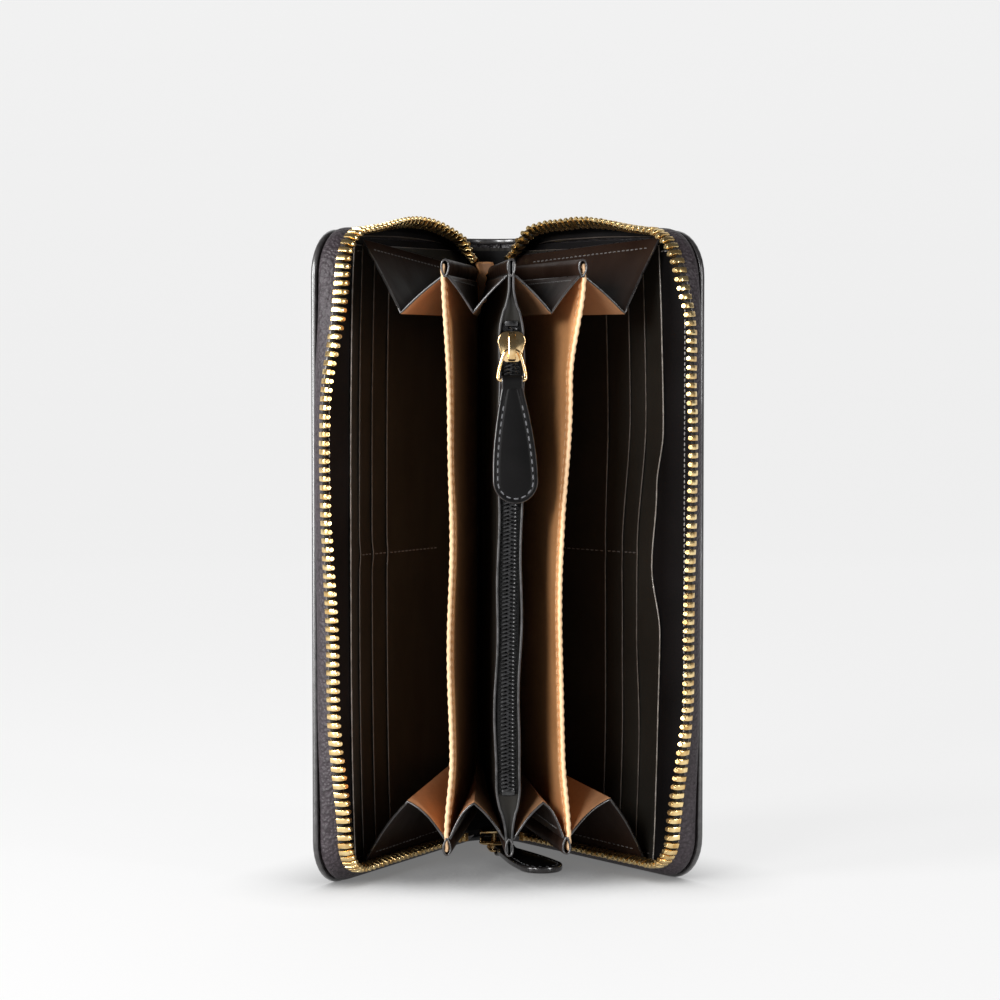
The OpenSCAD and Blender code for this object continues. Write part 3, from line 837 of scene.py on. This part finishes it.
def divider(side):
    name = NAMES[side]
    z = np.arange(INNER_LOW + 0.4, INNER_TOP - 0.2, 0.65)[:, None]
    depth = np.array([0, 8, 16, 24, 32, 40, 48, 56, 63, 69, 73.5, 76.5, 79, 81, 82.2, 83.1, 83.7])
    bumps = np.abs(np.sin(np.pi * z / PITCH))
    u = -5 + depth + 0.22 * bumps * (depth > 80)
    v = DIVIDER_V + divider_bow(side, z) * eased(depth / 84) + 0.26 * bumps * eased((depth - 79) / 4)
    rows = divider_point(side, u, v, z)
    piece = sheet(f"{name}_divider_leather", rows, 1.25, (TAN, TAN, TAN_EDGE))
    bodies, span = (ROOT, f"{name}_divider"), ((0, AXIS_Y, MIDDLE), rows[100][-1])
    bends(piece, bodies, per_vertex(divider_share(side, z), u.shape), span, "tan_leather", f"{name}_divider")
    # one row of stitches along the front edge on each face
    parts = []
    zz = np.arange(INNER_LOW + 5, INNER_TOP - 5, 1.3)
    for face in (-1, 1):
        path = divider_point(side, 76.9, DIVIDER_V + divider_bow(side, zz) * 0.99 + face * 0.64, zz)
        parts += stitches(path, heading(side, DIVIDER_ANGLE, 0, face), PITCH, 0.6, 0.24)
    v, f = joined(parts)
    row = make(f"{name}_divider_stitches", v, f, TAN_THREAD)
    bends(row, bodies, divider_share(side, v[:, 2]), span, "tan_leather")


# ---- accordion folds
FOLDS, ACROSS = 24, 17


def fold_line(side, angle, u, v, z):
    return fan(side, angle, np.linspace(*u, FOLDS), v, np.linspace(*z, FOLDS))


def fold_grid(lines, bulge):
    """Two arms between three lines, with a rounded valley. bulge lifts each arm's middle along z."""
    a, valley, b = lines[:, :, None]
    t = np.linspace(-1, 1, ACROSS)
    soft = 0.10
    w = (np.sqrt(t * t + soft * soft) - soft) / (sqrt(1 + soft * soft) - soft)
    grid = valley + (np.where((t < 0)[:, None], a, b) - valley) * w[:, None]
    grid[..., 2] += np.where(t < 0, *bulge) * np.sin(pi * w) * np.linspace(0.3, 1, FOLDS)[:, None]
    return grid


def gusset(side, which, end):
    name = NAMES[side]
    at_top = end == "top"
    pinch_z, up = ENDS[end]
    pinch = (pinch_z, pinch_z)
    share = float(divider_share(side, pinch_z))
    d = DIVIDER_ANGLE * share
    valley_z = (171, 171) if at_top else (31, 26)
    back, front = 3, INNER_LEN - 0.6
    full, valley = (back, front), (back, front - 1)
    bulge = (0.5, 0.5) if at_top else (1.6, 1.6)
    if which == "outer":
        high = at_top and side == RIGHT
        cover_z = (190, 193.5) if high else (186, 193) if at_top else (4.6, 4.6)
        between = (COVER_ANGLE + DIVIDER_ANGLE) / 2 - (3.4 if not at_top else 2.0 if side == LEFT else 0)
        lines = (fold_line(side, COVER_ANGLE, (back, 75.5 if high else 69), 7.6, cover_z),
                 fold_line(side, between, valley, 7.2, valley_z),
                 fold_line(side, d, full, 6.4, pinch))
        bodies = (f"{name}_divider", f"{name}_cover")
        turn = COVER_ANGLE - DIVIDER_ANGLE
        keys = [1, (between - DIVIDER_ANGLE) / turn, (d - DIVIDER_ANGLE) / turn]
    else:
        lines = (fold_line(side, d, full, 4.8, pinch),
                 fold_line(side, d / 2, valley, 4.3, valley_z),
                 fold_line(side, 0, full, 1.4, pinch))
        lines[2][:, 0] += pocket_shift(np.linspace(*full, FOLDS), pinch_z)
        bodies = (ROOT, f"{name}_divider")
        keys = [share, share / 2, 0]
        if not at_top:
            bulge = (2.0, 1.0)
    shares = np.interp(np.linspace(-1, 1, ACROSS), [-1, 0, 1], keys)
    grid = fold_grid(np.array(lines), bulge)
    span = (grid[-1, -1], grid[-1, 0])
    mats = (GUSSET, GUSSET_TAN, EDGE)
    piece = sheet(f"{name}_{which}_gusset_{end}_leather", grid, 0.75, mats, outward=(0, 0, up))
    weights = per_vertex(shares, grid.shape[:2])
    bends(piece, bodies, weights, span, "gusset_leather", f"{name}_{which}_gusset_{end}")
    # a row of stitches under the hem of the arm that is seen from outside
    path, beside = grid[3:-1, 1], grid[3:-1, 2]
    normal = unit(np.cross(np.gradient(path, axis=0), beside - path))
    normal *= np.sign(normal[:, 2:3]) * up
    v, f = joined(stitches(path + normal * 0.4, normal, 2.2, 0.7, 0.2))
    row = make(f"{name}_{which}_gusset_{end}_stitches", v, f, THREAD)
    bends(row, bodies, np.full(len(v), shares[1]), span, "gusset_leather")


def hem_loop(name, centre, up):
    """The folded leather over a divider's or the pocket's end, drop-shaped seen from the mouth."""
    t = np.linspace(0, 1, 19)
    b = 2 * pi * t
    wide = 1.25 * np.sin(b) * (0.35 + 0.65 * np.sin(pi * t)) * 1.05
    wide[[0, -1]] += (0.28, -0.28)
    ring = np.stack([wide, 0 * t, up * 2.45 * (1 - np.cos(b))], -1)
    return sheet(name, centre[:, None] + ring, 0.6, (GUSSET, GUSSET, EDGE))


def hems(side):
    name = NAMES[side]
    u = np.linspace(3, INNER_LEN + 0.2, 20)
    for end, (z, up) in ENDS.items():
        share = float(divider_share(side, z))
        centre = fan(side, DIVIDER_ANGLE * share, u, DIVIDER_V, z)
        piece = hem_loop(f"{name}_divider_hem_{end}", centre, up)
        weights = np.full(len(piece.data.vertices), share)
        bends(piece, (ROOT, f"{name}_divider"), weights, centre[[0, -1]], "gusset_leather")


# ---- coin pocket
POCKET_U = 79.8


def pocket_half(z):
    return curve(z, [(12, 0.62), (16, 0.9), (31, 3.2), (165, 3.2), (179, 0.62), (186, 0.62)])


def standing(x, u, z):
    """Points at x, at depth u in front of the axis."""
    return np.stack(np.broadcast_arrays(x, AXIS_Y - arr(u), z), -1)


def pocket_wall(side):
    name = NAMES[side]
    z = np.linspace(INNER_LOW, INNER_TOP, 150)[:, None]
    depth = np.array([-8.2, 0, 15, 30, 45, 58, 66, 71, 74.5, 77, TAPE_U, 79.4, POCKET_U])
    ripple = 0.28 * np.sin(z / 6.1 + side) + 0.2 * np.sin(z / 13.7 + 2 * side)
    ripple *= eased((z - 30) / 12) * eased((166 - z) / 12)
    half = pocket_half(z)
    lip = ripple * eased((depth - 66) / 12) + 0.25 * eased((depth - 77) / 2.8) * (half > 2)
    rows = standing(side * (half + lip) + pocket_shift(depth, z), depth, z)
    piece = sheet(f"coin_pocket_{name}_leather", rows, 0.75, (POCKET, POCKET, LIP_EDGE))
    on(piece, ROOT, "pocket_leather", f"coin_pocket_{name}_wall")


def coin_zip():
    low, high = INNER_LOW + 17, INNER_TOP - 17
    z = np.linspace(low - 1.5, high + 1, 70)[:, None]
    pitch = 1.15
    # one loop of the coil: (towards the zip's middle line, depth, up)
    loop = np.array([(2.2, 78.9, -0.5), (1.7, 79.4, -0.34), (0.7, 79.55, 0), (-0.3, 79.4, 0.26)])
    for side in (LEFT, RIGHT):
        name = NAMES[side]
        x = np.concatenate([np.broadcast_to([1.0, 1.6, 2.2, 2.7], (len(z), 4)), pocket_half(z) - 0.2], 1)
        rows = standing(side * x + pocket_shift(TAPE_U, z), [78.75, 78.7, TAPE_U, 78.5, 78.3], z)
        tape = sheet(f"coin_zip_{name}_tape_woven", rows, 0.45, TAPE)
        on(tape, ROOT, "zip_tape", f"coin_zip_{name}_tape")
        parts = []
        for k in range(int((high - low - 3) / pitch)):
            h = low + 1.6 + (k + (0.5 if side == RIGHT else 0)) * pitch
            path = standing(pocket_shift(TAPE_U, h) + side * loop[:, 0], loop[:, 1], h + loop[:, 2])
            parts.append(tube(path, [0.30, 0.35, 0.37, 0.30], sides=7))
        coil = make(f"coin_zip_{name}_coil_loops", *joined(parts), NYLON)
        on(coil, ROOT, "zip_nylon", f"coin_zip_{name}_coil")
    parts = []
    for h in (low + 0.8, high - 0.8):
        clip = prism([(-1.9, -0.8), (1.9, -0.8), (1.9, 0.8), (-1.9, 0.8)], -0.9, 0.9, 0.3, 3)
        origin = standing(pocket_shift(TAPE_U, h), COIN_U, h)
        parts.append(placed(clip, origin, (1, 0, 0), (0, 0, 1), (0, -1, 0)))
    stops = make("coin_zip_stop_clips", *joined(parts), NYLON)
    on(stops, ROOT, "zip_nylon", "coin_zip_stops")
    # leather that closes the mouth past both ends of the zip
    share = np.linspace(-1, 1, 7)
    for label, z0, z1 in (("bottom", 14.1, 28.8), ("top", 168.2, 179.5)):
        z = np.linspace(z0, z1, 14)[:, None]
        x = (pocket_half(z) - 0.1) * share
        rows = standing(x + pocket_shift(79, z), 79.1 - 0.5 * (1 - share ** 2), z)
        on(sheet(f"coin_pocket_{label}_infill", rows, 0.6, POCKET), ROOT, "pocket_leather")
    u = np.linspace(3, INNER_LEN + 0.6, 20)
    for end, (z, up) in ENDS.items():
        piece = hem_loop(f"coin_pocket_hem_{end}", standing(pocket_shift(u, z), u, z), up)
        on(piece, ROOT, "gusset_leather")


def zip_end_tab():
    z = np.linspace(175.6, 187.6, 24)
    left = -4.3 + 0.3 * np.sin(z * 1.3)
    right = -2.4 + 2.6 * eased((z - 183.5) / 3) + 0.3 * np.sin(z * 1.9)
    x, z = np.linspace(left, right, 8, axis=1), z[:, None]
    rows = standing(x, 1.3 - 0.35 * np.sin(x * 1.3 + z * 0.5), z)
    on(sheet("zip_end_tab_leather", rows, 1.1, (TAB, TAB, TAN)), ROOT, "tan_leather", "zip_end_tab")


# ---- sliders, bails and pulls
GAP, PLATE, WIRE = 1.35, 0.9, 0.55
BRIDGE_WIRE = GAP + PLATE + 0.7
BAIL_LEN, BAIL_NARROW, BAIL_WIDE = 9.0, 4.6, 9.2
PULL_LEN, PULL_W, NECK_W, PULL_T = 36.0, 13.4, 6.0, 2.0


def hull_outline(circles, n=64):
    """Outline of the hull of circles (x, y, r), through the farthest point in each direction."""
    out = []
    for a in np.linspace(0, 2 * pi, n, endpoint=False):
        d = vec(cos(a), sin(a))
        x, y, r = max(circles, key=lambda c: c[0] * d[0] + c[1] * d[1] + c[2])
        p = vec(x, y) + r * d
        if not out or np.linalg.norm(p - out[-1]) > 0.02:
            out.append(p)
    return np.array(out)


def mirrored(points):
    """The points, then their mirror images in reverse, so that both make one symmetric line."""
    return list(points) + [(x, -y) for x, y in points[::-1]]


def slider_parts(length, width, back_width, post_half):
    def plate(wide, z0, z1, short=0.0):
        r, q = 0.34 * wide, 0.16 * wide
        front, back = length / 2 - short / 2, -length / 2 + short / 2
        circles = [(front - r, s * (wide / 2 - r), r) for s in (-1, 1)]
        circles += [(back + q, s * (0.33 * wide - q), q) for s in (-1, 1)]
        return prism(hull_outline(circles), z0, z1, 0.28, 3)

    parts = [plate(width, GAP, GAP + PLATE), plate(back_width, -GAP - PLATE, -GAP, 1.0)]
    # the post that parts the two rows
    circles = [(0, s * max(0.0, post_half - 0.4), 0.4) for s in (-1, 1)] + [(0.9, 0, 0.3)]
    v, f = prism(hull_outline(circles, 24), -GAP - 0.2, GAP + 0.2)
    parts.append((v + (length / 2 - 2.9, 0, 0), f))
    # side flanges that keep the teeth in
    for s in (-1, 1):
        for z0, z1, w in ((GAP - 0.75, GAP + 0.3, width), (-GAP - 0.3, -GAP + 0.75, back_width)):
            circles = [(-length * 0.36, s * w * 0.30, 0.32), (length * 0.08, s * (w * 0.44), 0.32)]
            parts.append(prism(hull_outline(circles, 28), z0, z1, 0.1, 1))
    # the bridge, an arch of flat bar: (height over the plate, distance from its middle)
    reach = length * 0.43
    half = [(-0.35, -reach), (0.5, -reach), (1.25, 0.35 - reach), (1.75, 1.3 - reach), (1.92, -reach * 0.3)]
    arch = smooth_path([(x, 0, GAP + PLATE + z) for z, x in mirrored(half)], 3)
    w, t = 1.1, 0.38
    corner = mirrored([(w - 0.25, t), (w, t - 0.2)])
    parts.append(bar(arch, corner + [(-x, y) for x, y in corner[::-1]], (0, 1, 0)))
    return parts


def smooth_path(points, rounds, closed=False):
    """Cuts a path's corners, a few times over."""
    p = arr(points)
    for _ in range(rounds):
        q = np.roll(p, -1, 0) if closed else p[1:]
        a = p if closed else p[:-1]
        cut = np.stack([a * 0.75 + q * 0.25, a * 0.25 + q * 0.75], 1).reshape(-1, p.shape[1])
        p = cut if closed else np.concatenate([p[:1], cut, p[-1:]])
    return p


def bar(path, section, side):
    """Sweeps a section of (along side, along normal) points along a path."""
    p = arr(path)
    t = unit(np.gradient(p, axis=0))
    s = vec(*side)
    verts = [p[i] + s * a + unit(np.cross(s, t[i])) * b for i in range(len(p)) for a, b in section]
    return np.array(verts), skin(len(p), len(section))


def bail_part():
    near, far = BAIL_NARROW / 2, BAIL_WIDE / 2
    corners = [vec(0, -near, 0), vec(0, near, 0), vec(-BAIL_LEN, far, 0), vec(-BAIL_LEN, -far, 0)]
    path = [c + unit(other - c) * 1.1 for i, c in enumerate(corners)
            for other in (corners[i - 1], corners[(i + 1) % 4])]
    return tube(smooth_path(path, 3, closed=True), WIRE, closed=True, sides=12, up=(0, 0, 1))


def pull_outline():
    r = PULL_W / 2
    x = np.linspace(-1.2, -PULL_LEN + r, 22)
    half = NECK_W / 2 + (r - NECK_W / 2) * np.sin(pi / 2 * np.clip((-x - 1) / (PULL_LEN - r - 1), 0, 1))
    end = [(-PULL_LEN + r - r * sin(a), r * cos(a)) for a in np.radians(np.linspace(8, 172, 22))]
    side = np.column_stack([x, half])
    return np.concatenate([side, end, side[::-1] * (1, -1)])


def pull_parts():
    """(leather, stitches) of a pull whose loop is round the origin, along -X."""
    o = pull_outline()
    inward = inward_of(o, open_ends=True)
    h = PULL_T / 2
    # (distance in from the rim, height) over the face, with the groove in which the stitches lie
    face = [(2.4, h + 0.06), (1.9, h - 0.02), (1.62, h - 0.2), (1.38, h - 0.2), (1.1, h - 0.02),
            (0.7, h + 0.02), (0.30, h - 0.02)]
    shape = face + [(0.08, h - 0.28), (0, 0.2), (0.05, 0), (0, -0.2), (0.08, -h + 0.28)]
    shape += [(d, -z) for d, z in face[::-1]]
    verts = outline_rings(o, inward, shape)
    faces = skin(len(shape), len(o))
    index = [int(len(face) - 1 <= r <= len(face) + 4) for r in range(len(shape) - 1) for _ in o] + [0, 0]
    # the loop of leather round the bail
    loop_r = 1.28
    half = [(-4.6, 0.42), (-2.6, 0.5), (-1.3, 0.9)]
    round_bail = [(loop_r * cos(a), loop_r * sin(a)) for a in np.radians(np.linspace(115, -115, 15))]
    path = half + round_bail + [(x, -z) for x, z in half[::-1]]
    across = np.linspace(-NECK_W / 2 + 0.25, NECK_W / 2 - 0.25, 6)
    loop = sheet_mesh([[(x, y, z) for y in across] for x, z in path], 0.8)
    index += [int(i == 2) for i in loop[2]]
    line = o + inward * 1.5
    row = line[line[:, 0] < -6.5]
    threads = []
    for way in (1, -1):
        path = np.column_stack([row, np.full(len(row), way * (h - 0.14))])
        threads += stitches(path, (0, 0, way), 2.3, 0.72, 0.23)
    return (*joined([(verts, faces), loop[:2]]), index), joined(threads)


def to_frame(origin, axes):
    """A function that places points by an origin and the three axes of a local frame."""
    return lambda v: arr(origin) + arr(v) @ np.array(axes, float)


def fitted(prefix, at, bail_at, pull_at, sizes):
    """A slider with its bail and its leather pull, each riding on its own body.
    sizes are the slider's length, front width, back width and half the post's width."""
    v, f = joined(slider_parts(*sizes))
    slider = make(f"{prefix}_slider_body", at(v), f, PALE_GOLD, smooth=35)
    on(slider, f"{prefix}_slider", "slider_metal", f"{prefix}_slider")
    v, f = bail_part()
    bail = make(f"{prefix}_bail_wire", bail_at(v), f, PALE_GOLD)
    on(bail, f"{prefix}_bail", "slider_metal", f"{prefix}_bail")
    (v, f, index), (tv, tf) = pull_parts()
    pull = make(f"{prefix}_pull_leather", pull_at(v), f, (PULL, EDGE), index, smooth=60)
    on(pull, f"{prefix}_pull", "pull_leather", f"{prefix}_pull")
    row = make(f"{prefix}_pull_stitches", pull_at(tv), tf, PULL_THREAD)
    on(row, f"{prefix}_pull", "pull_leather")


def turned(axis, degrees):
    """Rows are the turned local axes."""
    return np.array(Matrix.Rotation(radians(degrees), 3, axis)).T


def coin_fittings():
    axes = np.array([(0, 0, 1), (-1, 0, 0), (0, -1, 0)], float)
    origin = vec(0, AXIS_Y - COIN_U, COIN_SLIDER_Z)
    at = to_frame(origin, axes)
    lean_axes = turned("Z", 2.0) @ axes
    bail_at = to_frame(at((-1, 0, BRIDGE_WIRE)), axes)
    pull_at = to_frame(at((-1 - BAIL_LEN, 0, BRIDGE_WIRE)), lean_axes)
    fitted("coin", at, bail_at, pull_at, (9, 8.2, 5.2, 0.45))


MAIN_U, MAIN_BAIL_U, MAIN_TURN, DROOP = 7.0, 2.0, 18.0, 0.9
ROW_Z = EDGE_INSET + REACH * sin(radians(-SUNK))


def main_fittings():
    axes = np.array([(0, -1, 0), (-1, 0, 0), (0, 0, -1)], float)
    origin = vec(0, AXIS_Y - MAIN_U, ROW_Z)
    at = to_frame(origin, axes)
    swing = turned("Z", 180 - MAIN_TURN) @ axes
    pivot = at((MAIN_BAIL_U, 0, BRIDGE_WIRE))
    bail_at = to_frame(pivot, swing)
    pull_at = to_frame(bail_at((-BAIL_LEN, 0, 0)), turned("Y", DROOP) @ swing)
    fitted("main", at, bail_at, pull_at, (11, 9.4, 9.4, 0.8))


# ---- CAD nodes that stay
def finish_kept_nodes():
    kept = {"board": BOARD, "spine_lining": LINING, "cover_lining": LINING, "coin_pocket_base": POCKET}
    for node, ob in frame["nodes"].items():
        for key, mat in kept.items():
            if key in node:
                ob.data.materials.clear()
                ob.data.materials.append(mat)


# ---- stage, light and camera
def studio():
    scene = bpy.context.scene
    scene.view_settings.view_transform = "Standard"
    scene.view_settings.look = "None"
    world = bpy.data.worlds.new("studio")
    world.use_nodes = True
    sky = world.node_tree.nodes["Background"].inputs
    sky["Color"].default_value = (1, 1, 1, 1)
    sky["Strength"].default_value = 0.08
    scene.world = world
    # a sweep of pale paper: floor, curve and wall
    back, bend = 1.2, 0.5
    turn = np.radians(np.linspace(10, 90, 9))
    profile = [(-2.2, 0.0), (back, 0.0)] + [(back + bend * sin(a), bend - bend * cos(a)) for a in turn]
    profile += [(back + bend, 2.6)]
    verts = [(x, y, z) for y, z in profile for x in (-3, 3)]
    faces = [(2 * i, 2 * i + 1, 2 * i + 3, 2 * i + 2) for i in range(len(profile) - 1)]
    me = bpy.data.meshes.new("paper_sweep")
    me.from_pydata(verts, [], faces)
    me.polygons.foreach_set("use_smooth", [True] * len(me.polygons))
    paper = Paint("pale_paper", Base_Color=(0.13, 0.13, 0.13, 1), Roughness=0.9, Specular_IOR_Level=0.1,
                  Emission_Strength=0.79)
    # painted contact shadow: the paper's glow is darkened where ambient occlusion finds it under and beside the
    # wallet
    hidden = paper.node("ShaderNodeAmbientOcclusion", Distance=0.034)
    hidden.samples = 8
    shade = paper.ramp(hidden.outputs["AO"], (0.25, 0.2), (0.98, 1.0))
    paper.feed(paper.shader.inputs["Emission Color"], shade)
    me.materials.append(paper.mat)
    sweep = put("paper_sweep", me)


def area_light(name, place, size, watts):
    data = bpy.data.lights.new(name, "AREA")
    data.shape = "RECTANGLE"
    data.size, data.size_y = size
    data.energy = watts
    lamp = put(name, data)
    lamp.location = place
    lamp.rotation_mode = "QUATERNION"
    lamp.rotation_quaternion = (Vector((0, 0, 0.1)) - Vector(place)).to_track_quat("-Z", "Y")


def lights():
    """All lights look at the middle of the wallet."""
    area_light("left_key", (-0.80, -0.37, 0.24), (0.34, 0.8), 15)
    area_light("front_top", (-0.52, -0.85, 0.42), (0.3, 0.3), 7.5)
    area_light("right_fill", (0.75, -0.75, 0.25), (0.15, 0.6), 5)


def camera():
    data = bpy.data.cameras.new("camera")
    data.lens = 105.5
    data.sensor_width = 36
    data.clip_start, data.clip_end = 0.01, 20
    cam = put("camera", data)
    cam.location = (-0.0678, -0.9019, 0.1602)
    cam.rotation_euler = (radians(90 - 2.94), 0, radians(-4.3))
    bpy.context.scene.camera = cam


camera()
studio()
lights()
for side in (LEFT, RIGHT):
    cover_leather(side)
    spine(side)
    zip_band(side)
    zip_tape(side)
    zip_teeth(side)
    ripple = 0.3 if side == LEFT else 0.7
    pocket_panel(side, 0, SLIP, "slip_panel", ripple)
    for i, length in enumerate(CARDS):
        pocket_panel(side, i + 1, length, f"card_slot_{i + 1}", 0.3)
    panel_stitches(side)
    divider(side)
    for end in ENDS:
        gusset(side, "outer", end)
        gusset(side, "inner", end)
    hems(side)
    pocket_wall(side)
coin_zip()
zip_end_tab()
coin_fittings()
main_fittings()
finish_kept_nodes()

bpy.context.view_layer.update()
